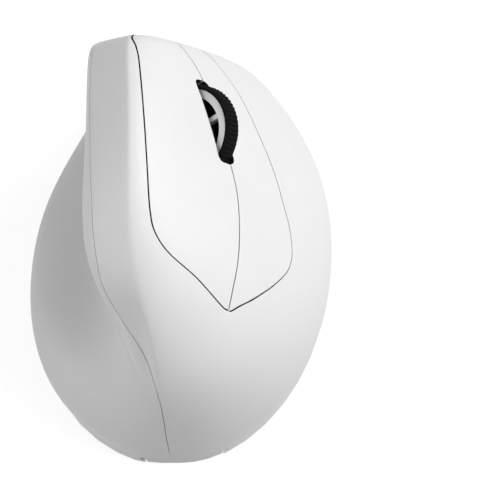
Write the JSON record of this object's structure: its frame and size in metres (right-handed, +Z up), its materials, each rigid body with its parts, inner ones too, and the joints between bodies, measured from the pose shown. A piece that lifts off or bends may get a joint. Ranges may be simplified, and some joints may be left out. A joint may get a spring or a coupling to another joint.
{
  "type": "vertical computer mouse",
  "caption": "Right-handed vertical mouse with a sloping palm face, hinged main buttons, a clicking scroll wheel, sliding thumb buttons and a battery door.",
  "frame": {"origin": "centre of the bounding box, in the plane the glide pads stand on", "axes": "+X to the user's right, +Y forward from heel to nose, +Z up"},
  "size_m": [0.0689, 0.101, 0.0675],
  "materials": {
    "white_shell": "fine satin grain",
    "white_hub": "satin",
    "black_rubber": "matte, knurled",
    "grey_inside": "moulded",
    "glide_pad": "slick",
    "steel": "bright",
    "board_green": "solder mask",
    "chip_black": "moulded",
    "clear_lens": "clear",
    "ribbon": "film",
    "connector_white": "moulded",
    "cell_jacket": "satin"
  },
  "bodies": {
    "case": {"base_plate": "white_shell", "thumb_shell": "white_shell", "palm_shell": "white_shell", "inner_frame": "grey_inside", "glide_feet": "glide_pad", "case_screws": "steel", "frame_screws": "steel", "board_screws": "steel", "hinge_pin": "steel", "carrier_pin": "steel", "battery_spring": "steel", "battery_contact": "steel", "button_board": "board_green", "main_board": "board_green", "left_switch": "chip_black", "right_switch": "chip_black", "middle_switch": "chip_black", "side_switches": "chip_black", "controller_chip": "chip_black", "optical_sensor": "chip_black", "power_switch": "chip_black", "sensor_lens": "clear_lens", "ribbon_cable": "ribbon", "ribbon_connectors": "connector_white", "battery": "cell_jacket"},
    "left_key": {"left_button": "white_shell", "left_arm": "grey_inside"},
    "right_key": {"right_button": "white_shell", "right_arm": "grey_inside"},
    "back_key": {"back_button": "white_shell"},
    "forward_key": {"forward_button": "white_shell"},
    "cradle": {"wheel_carrier": "grey_inside", "scroll_encoder": "chip_black"},
    "wheel": {"wheel_hub": "white_hub", "wheel_tyre": "black_rubber", "wheel_axle": "steel"},
    "door": {"battery_door": "white_shell"},
    "knob": {"power_knob": "grey_inside"}
  },
  "joints": [
    {"name": "left_press", "type": "hinge", "parent": "case", "child": "left_key", "pos_m": [0.00782, -0.0254, 0.03816], "axis": [-0.6002, -0.2552, 0.758], "range_deg": [0, 0.6], "stiffness_Nm_per_rad": 0.3, "springref_deg": -1.72},
    {"name": "right_press", "type": "hinge", "parent": "case", "child": "right_key", "pos_m": [0.00782, -0.0254, 0.03816], "axis": [-0.6002, -0.2552, 0.758], "range_deg": [0, 0.6], "stiffness_Nm_per_rad": 0.3, "springref_deg": -1.72},
    {"name": "wheel_click", "type": "hinge", "parent": "case", "child": "cradle", "pos_m": [0.0051, -0.00749, 0.04204], "axis": [-0.6002, -0.2552, 0.758], "range_deg": [0, 1.2], "stiffness_Nm_per_rad": 0.3, "springref_deg": -1.72},
    {"name": "wheel_spin", "type": "hinge", "parent": "cradle", "child": "wheel", "pos_m": [0.00385, 0.0071, 0.0482], "axis": [0.6002, 0.2552, -0.758], "continuous": true},
    {"name": "back_press", "type": "slide", "parent": "case", "child": "back_key", "axis": [0.7444, 0.1684, 0.6461], "range_m": [0, 0.0005], "stiffness_N_per_m": 400, "springref_m": -0.001},
    {"name": "forward_press", "type": "slide", "parent": "case", "child": "forward_key", "axis": [0.7444, 0.1684, 0.6461], "range_m": [0, 0.0005], "stiffness_N_per_m": 400, "springref_m": -0.001},
    {"name": "door_slide", "type": "slide", "parent": "case", "child": "door", "axis": [0, -1, 0], "range_m": [0, 0.045]},
    {"name": "power_slide", "type": "slide", "parent": "case", "child": "knob", "axis": [1, 0, 0], "range_m": [0, 0.0026]}
  ]
}
